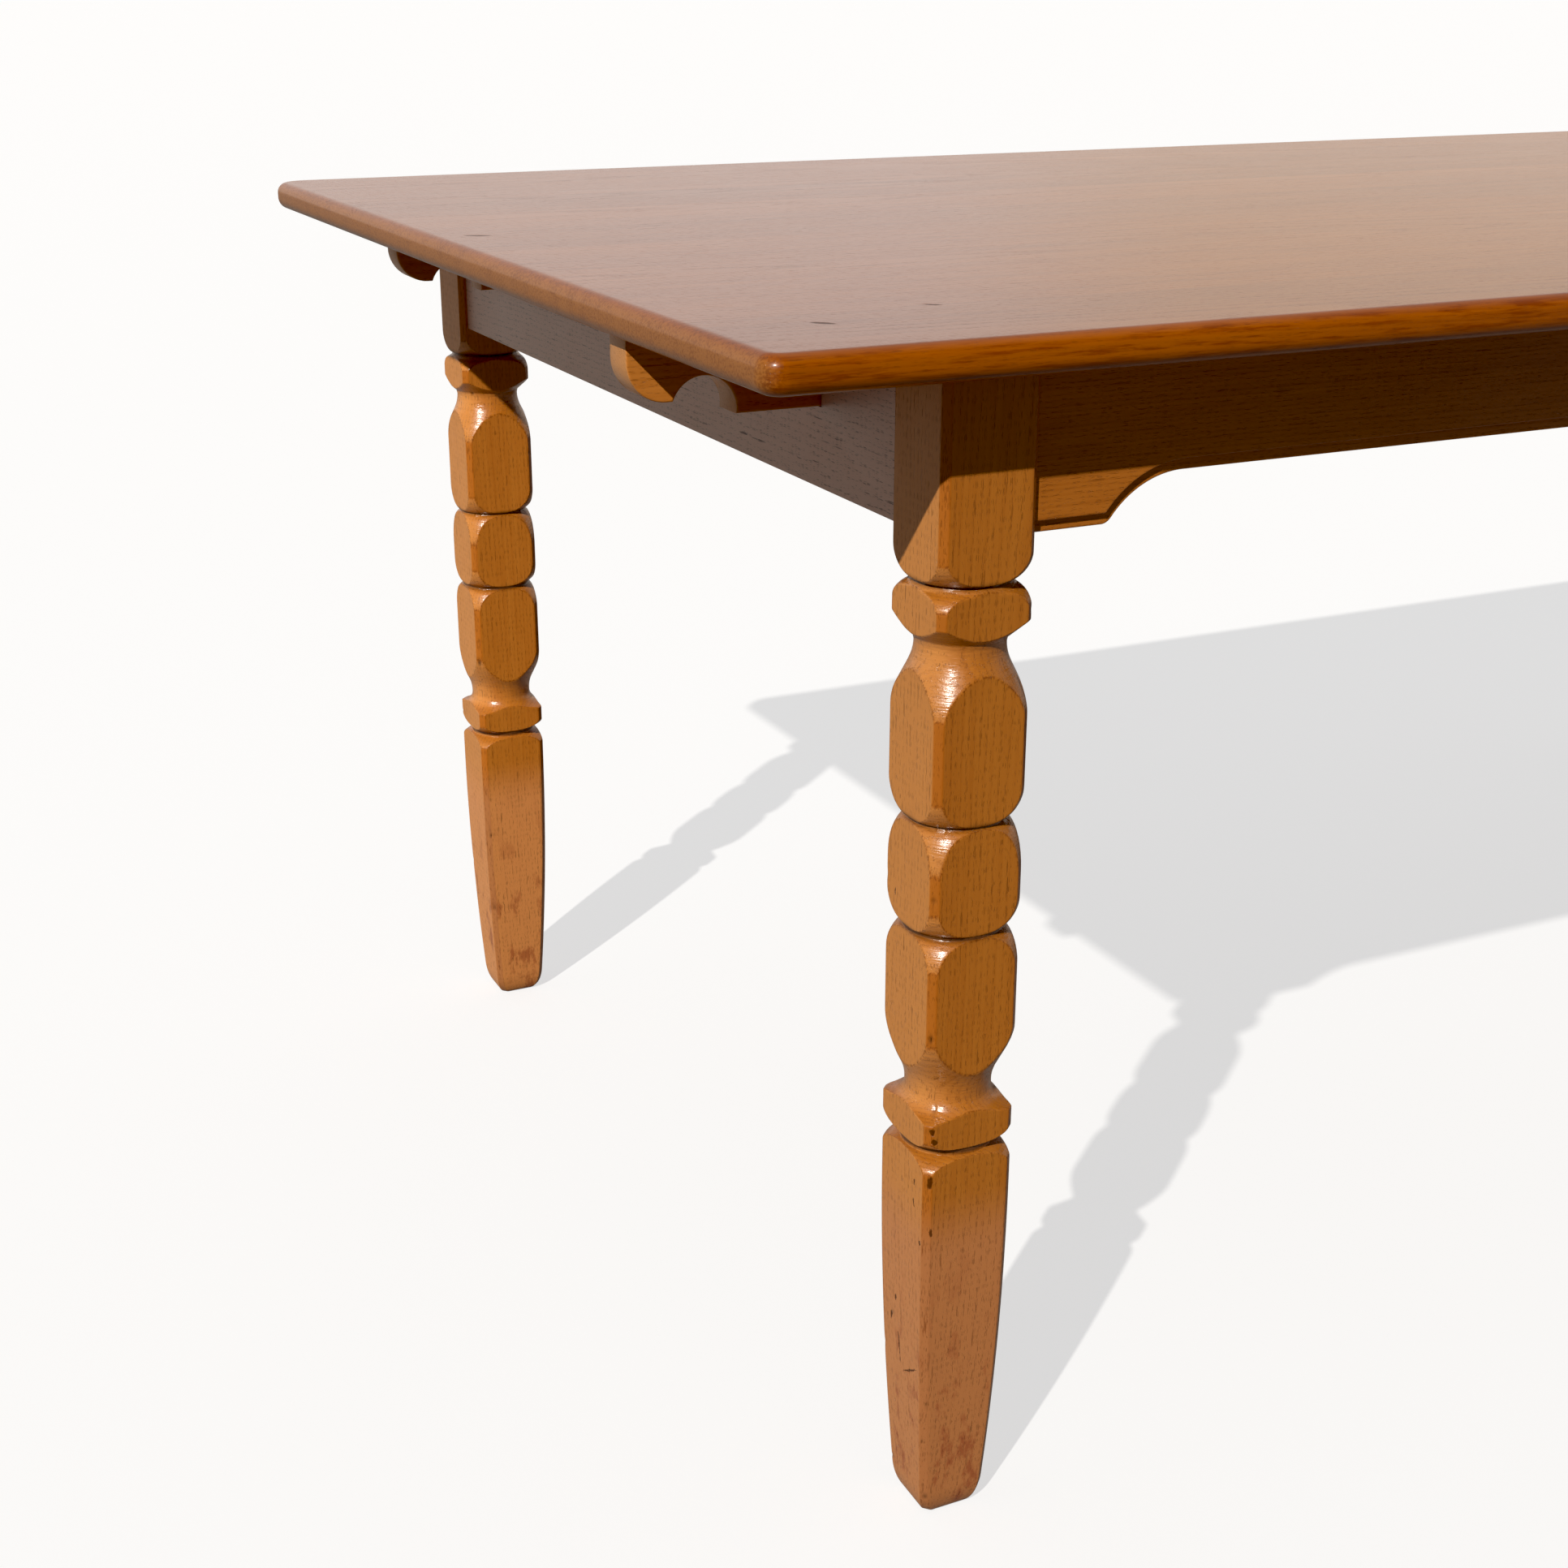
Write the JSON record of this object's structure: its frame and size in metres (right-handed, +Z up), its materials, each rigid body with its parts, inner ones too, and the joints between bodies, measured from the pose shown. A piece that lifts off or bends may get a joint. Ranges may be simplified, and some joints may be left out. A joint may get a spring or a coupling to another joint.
{
  "type": "extending dining table",
  "caption": "Full-size oak dining table with turned square legs, arched aprons, and sliding lopers that pull out of the end aprons to carry loose leaves.",
  "frame": {"origin": "on the floor under the centre of the top", "axes": "+Z up; +X along the top's length, -X being the end with the pulled-out loper; -Y the front long side"},
  "size_m": [1.8, 1, 0.745],
  "materials": {
    "oak_top": "semi-gloss lacquered oak boards, golden brown",
    "oak_leg": "semi-gloss lacquered oak, golden brown",
    "oak_apron": "satin lacquered oak, golden brown",
    "oak_loper": "satin oak, waxed for sliding",
    "beech_frame": "bare planed beech",
    "beech_dowel": "bare turned beech",
    "beech_button": "bare sawn beech",
    "zinc_steel": "bright zinc plate"
  },
  "bodies": {
    "table_frame": {"top_board_1": "oak_top", "top_board_2": "oak_top", "top_board_3": "oak_top", "top_board_4": "oak_top", "top_board_5": "oak_top", "top_board_6": "oak_top", "top_board_7": "oak_top", "top_board_8": "oak_top", "top_board_9": "oak_top", "leg_front_left": "oak_leg", "leg_front_right": "oak_leg", "leg_back_left": "oak_leg", "leg_back_right": "oak_leg", "apron_front": "oak_apron", "apron_back": "oak_apron", "apron_left": "oak_apron", "apron_right": "oak_apron", "cross_rail_left": "beech_frame", "cross_rail_right": "beech_frame", "brace_front_left": "beech_frame", "brace_front_right": "beech_frame", "brace_back_left": "beech_frame", "brace_back_right": "beech_frame", "hanger_bolts": "zinc_steel", "hanger_washers": "zinc_steel", "hanger_nuts": "zinc_steel", "brace_screws": "zinc_steel", "top_buttons": "beech_button", "button_screws": "zinc_steel"},
    "loper_body_front_left": {"loper_front_left": "oak_loper", "stop_peg_front_left": "beech_dowel"},
    "loper_body_front_right": {"loper_front_right": "oak_loper", "stop_peg_front_right": "beech_dowel"},
    "loper_body_back_left": {"loper_back_left": "oak_loper", "stop_peg_back_left": "beech_dowel"},
    "loper_body_back_right": {"loper_back_right": "oak_loper", "stop_peg_back_right": "beech_dowel"}
  },
  "joints": [
    {"name": "loper_slide_front_left", "type": "slide", "parent": "table_frame", "child": "loper_body_front_left", "axis": [-1, 0, 0], "range_m": [-0.0275, 0.3925]},
    {"name": "loper_slide_front_right", "type": "slide", "parent": "table_frame", "child": "loper_body_front_right", "axis": [1, 0, 0], "range_m": [0, 0.42]},
    {"name": "loper_slide_back_left", "type": "slide", "parent": "table_frame", "child": "loper_body_back_left", "axis": [-1, 0, 0], "range_m": [0, 0.42]},
    {"name": "loper_slide_back_right", "type": "slide", "parent": "table_frame", "child": "loper_body_back_right", "axis": [1, 0, 0], "range_m": [0, 0.42]}
  ]
}
